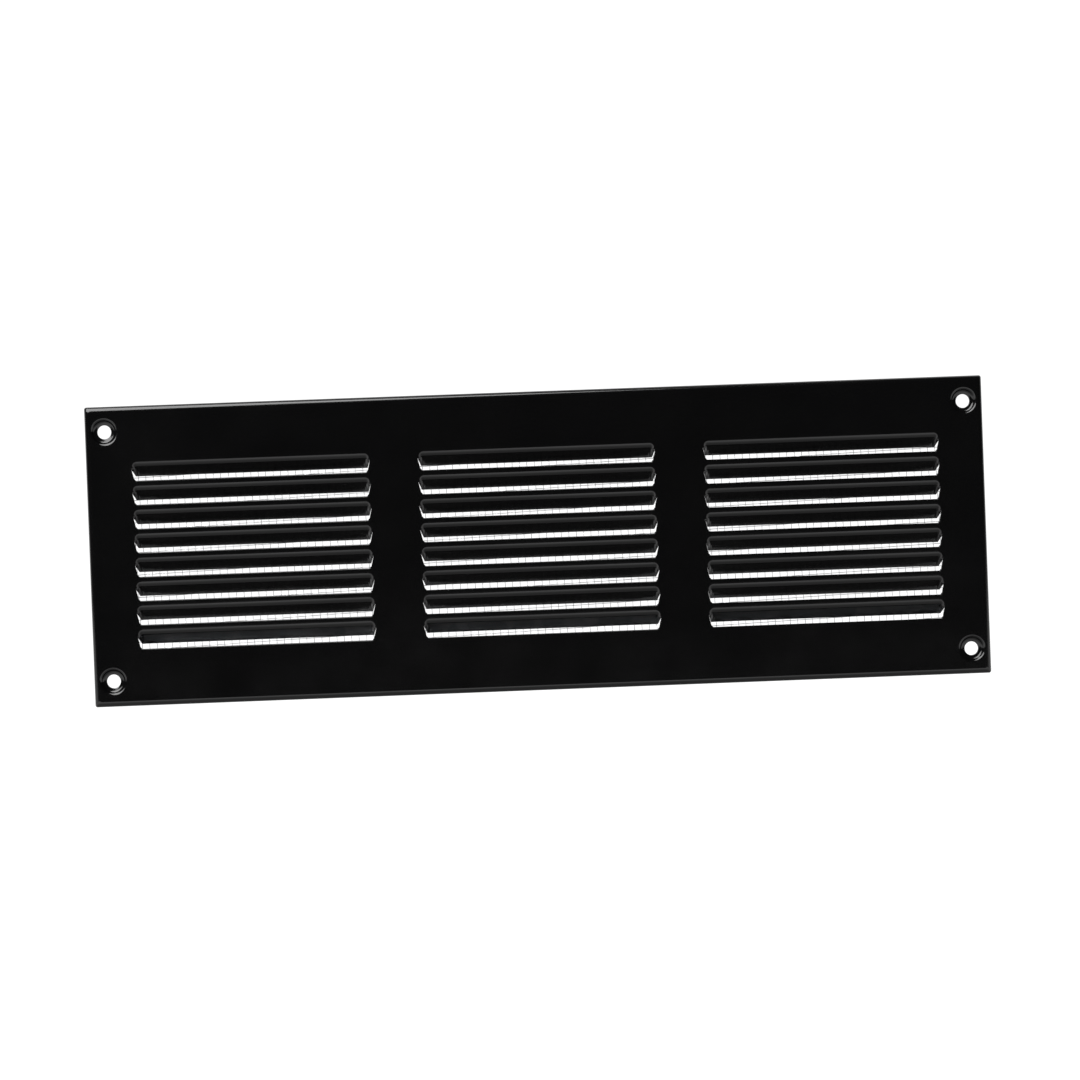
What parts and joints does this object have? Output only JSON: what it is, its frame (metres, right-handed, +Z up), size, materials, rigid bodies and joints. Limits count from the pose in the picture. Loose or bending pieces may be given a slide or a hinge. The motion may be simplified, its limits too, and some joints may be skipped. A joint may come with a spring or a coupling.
{
  "type": "louvred air grille",
  "caption": "Rectangular pressed-metal ventilation grille with banks of horizontal louvres, a folded rim, dimpled screw holes and a wire insect screen behind.",
  "frame": {"origin": "middle of the plane in which the back edge of the folded rim meets the wall", "axes": "+X along the grille's length, +Z up with the louvres opening downwards, the front faces -Y and +Y points into the wall"},
  "size_m": [0.3, 0.008, 0.1],
  "materials": {
    "black_enamel": "gloss black stoved enamel on pressed steel sheet",
    "zinc_wire": "bright galvanised wire",
    "zinc_strip": "galvanised steel strip with faint spangle"
  },
  "bodies": {
    "root": {"faceplate": "black_enamel", "screen_warp_wires": "zinc_wire", "screen_weft_wires": "zinc_wire", "retaining_strip_top": "zinc_strip", "retaining_strip_bottom": "zinc_strip", "retaining_strip_left": "zinc_strip", "retaining_strip_right": "zinc_strip"}
  },
  "joints": []
}
